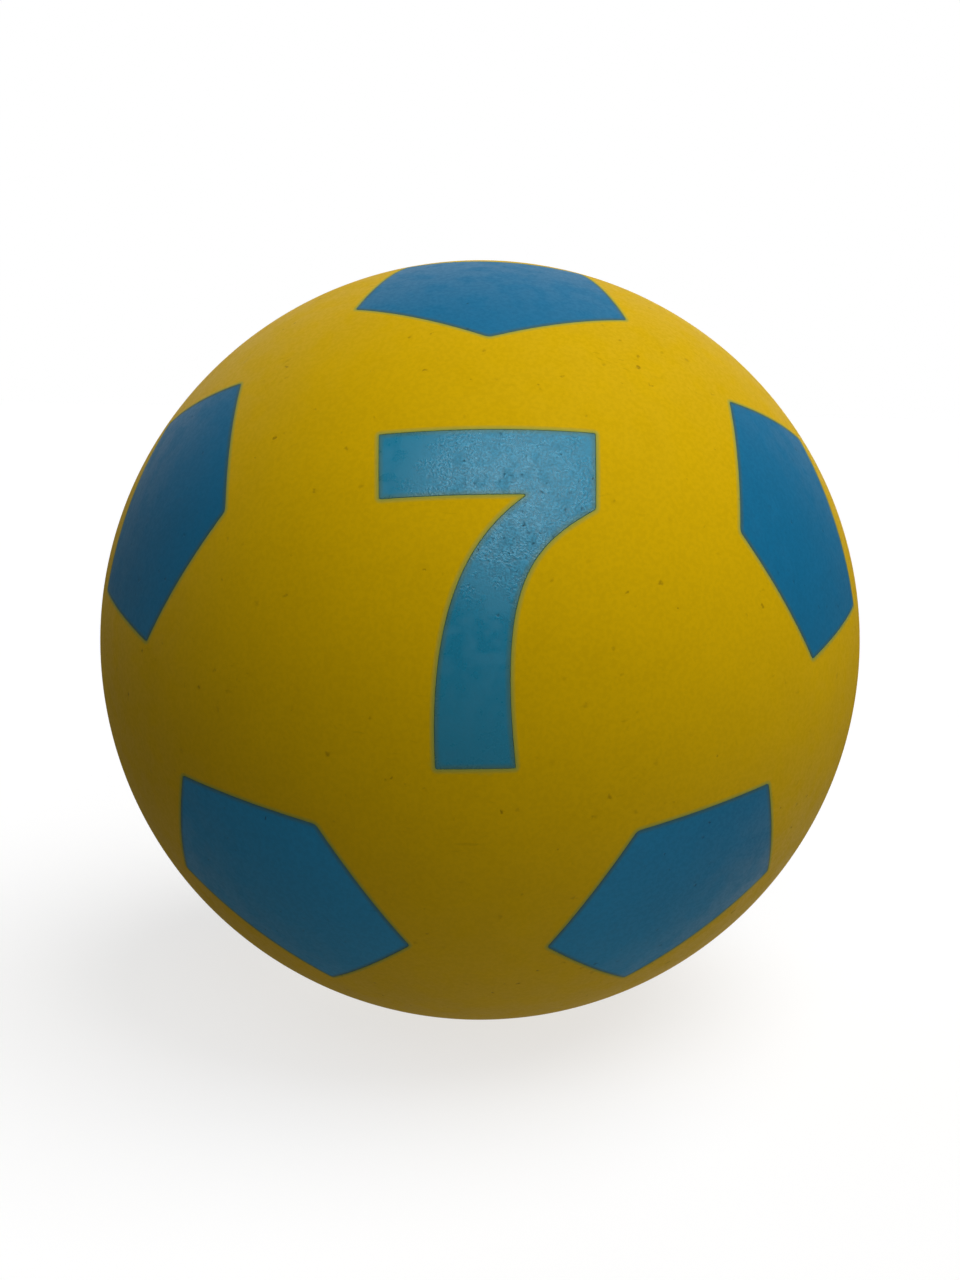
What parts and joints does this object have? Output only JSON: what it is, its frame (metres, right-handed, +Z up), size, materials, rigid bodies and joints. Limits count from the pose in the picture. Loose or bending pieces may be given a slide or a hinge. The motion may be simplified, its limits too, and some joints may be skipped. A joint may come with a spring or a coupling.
{
  "type": "play ball",
  "caption": "Soft hollow play ball in moulded elastomer, with flush football panels, a plain number on the front and a pull-out plug valve at the rear.",
  "frame": {"origin": "on the floor under the ball's centre, in the middle of the rest flat", "axes": "+Z up; the number faces -Y, tipped up 15 degrees; +X to the right of the number; the valve faces +Y, tipped down 15 degrees"},
  "size_m": [0.178, 0.1779, 0.1773],
  "materials": {
    "shell_yellow": "matte",
    "panel_blue": "satin",
    "number_blue": "satin",
    "valve_grey": "matte"
  },
  "bodies": {
    "ball": {"front_half_shell": "shell_yellow", "rear_half_shell": "shell_yellow", "number_seven": "number_blue", "front_panel_1": "panel_blue", "front_panel_2": "panel_blue", "front_panel_3": "panel_blue", "front_panel_4": "panel_blue", "front_panel_5": "panel_blue", "rear_panel_1": "panel_blue", "rear_panel_2": "panel_blue", "rear_panel_3": "panel_blue", "rear_panel_4": "panel_blue", "rear_panel_5": "panel_blue", "rear_pole_panel": "panel_blue", "valve_body": "valve_grey"},
    "plug": {"valve_plug": "valve_grey"}
  },
  "joints": [
    {"name": "plug_pull", "type": "slide", "parent": "ball", "child": "plug", "axis": [0, 0.9659, -0.2588], "range_m": [0, 0.016]}
  ]
}
